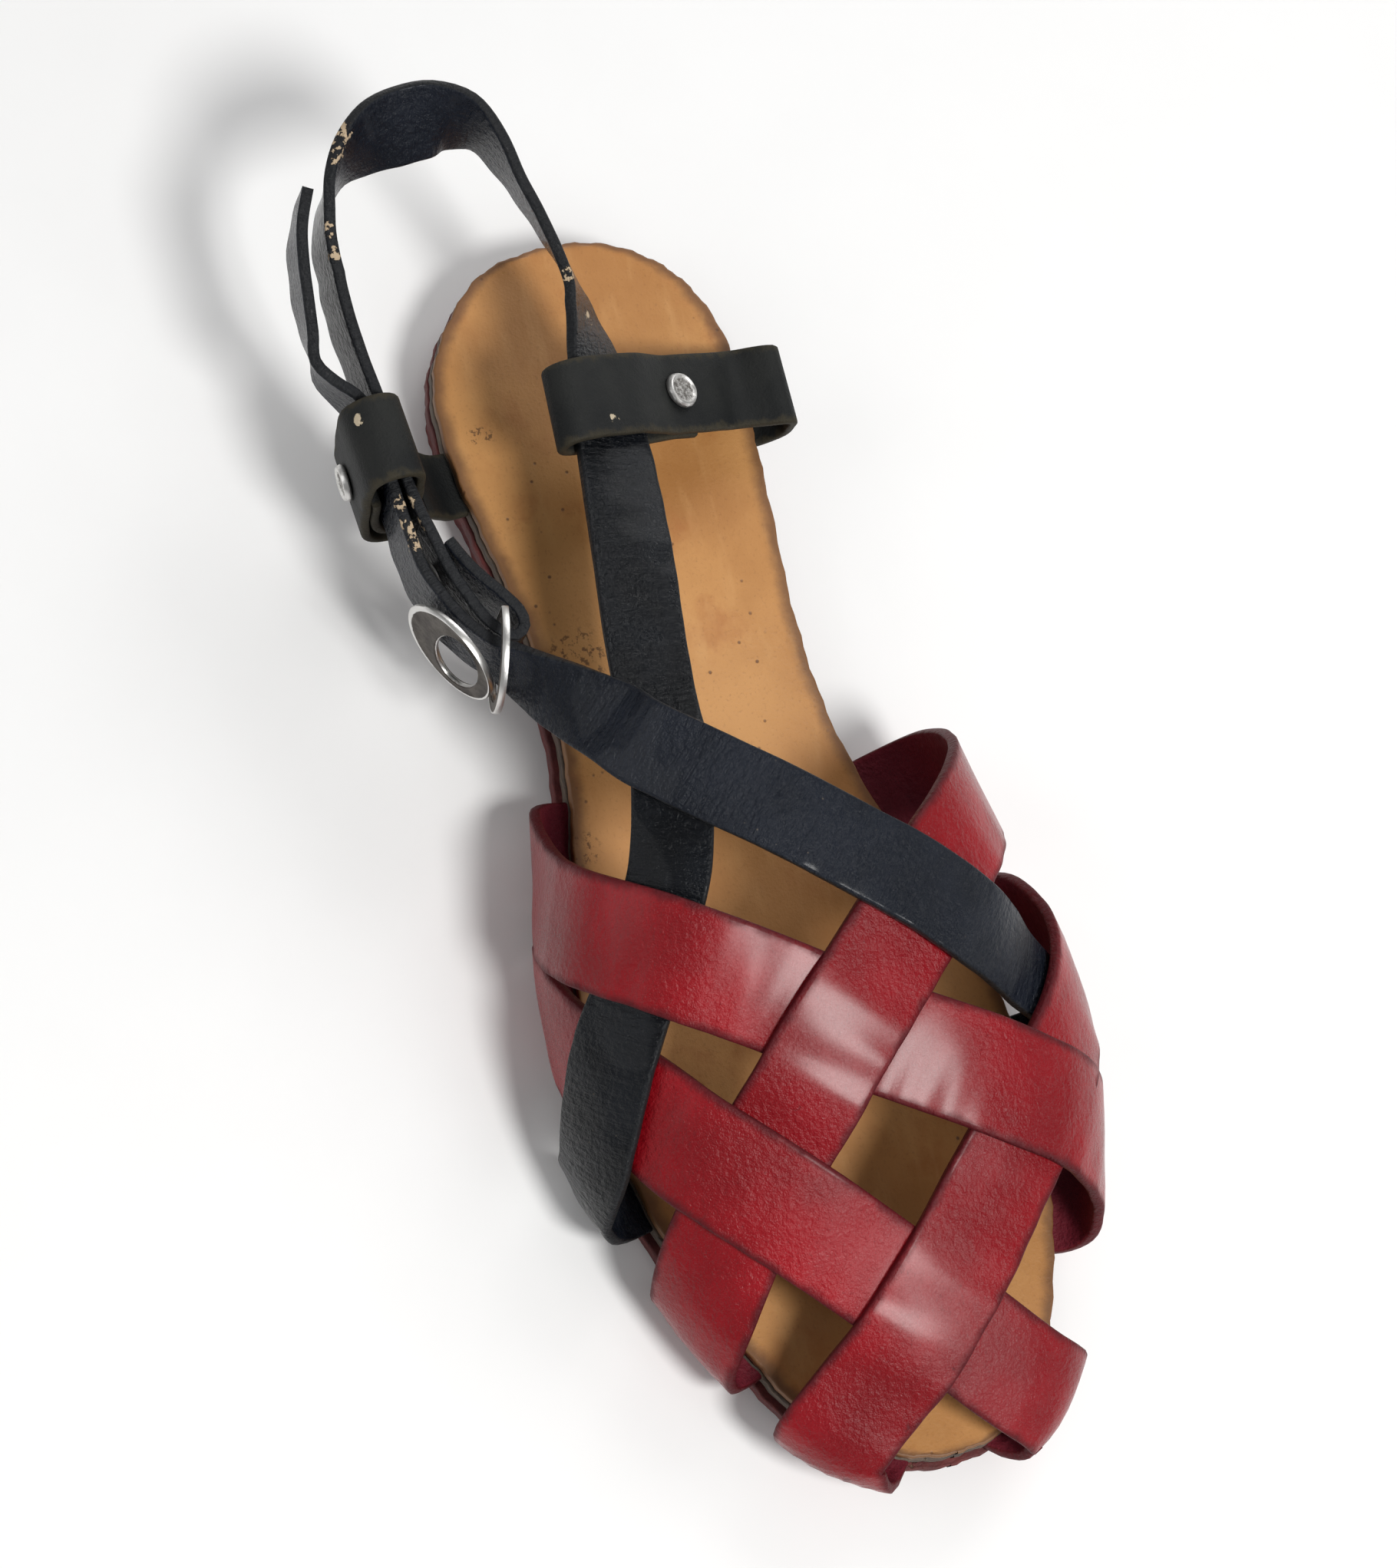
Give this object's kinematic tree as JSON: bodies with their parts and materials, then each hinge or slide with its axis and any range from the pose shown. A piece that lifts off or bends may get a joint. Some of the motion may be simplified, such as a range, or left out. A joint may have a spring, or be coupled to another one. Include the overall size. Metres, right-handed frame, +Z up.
{
  "type": "sandal",
  "caption": "Flat leather sandal for the right foot: woven red strap vamp, black instep and ankle straps, keepers, ring buckle and layered sole.",
  "frame": {"origin": "on the floor under the middle of the heel, at the flat underside of the heel lift", "axes": "+X towards the toe, +Y towards the inner (medial) side of the right foot, +Z up"},
  "size_m": [0.2748, 0.1269, 0.0636],
  "materials": {
    "outsole_leather": "dark red dyed edge, worn",
    "midsole_board": "grey-brown pressed board edge",
    "insole_leather": "tan leather, stained and speckled",
    "red_leather": "glossy deep red, fine grain, scuffed edges",
    "black_leather": "blue-black, crinkled gloss, flaked patches",
    "keeper_leather": "matte grey-black, worn",
    "worn_nickel": "tarnished nickel with bright worn rims"
  },
  "bodies": {
    "root": {"outsole": "outsole_leather", "midsole": "midsole_board", "insole": "insole_leather", "heel_lift": "outsole_leather", "woven_vamp": "red_leather", "instep_strap": "black_leather", "ankle_strap": "black_leather", "outer_keeper": "keeper_leather", "inner_keeper": "keeper_leather", "rivet_outer_keeper": "worn_nickel", "rivet_inner_keeper": "worn_nickel", "rivet_fold": "worn_nickel", "ring_threaded": "worn_nickel", "ring_resting": "worn_nickel"}
  },
  "joints": []
}
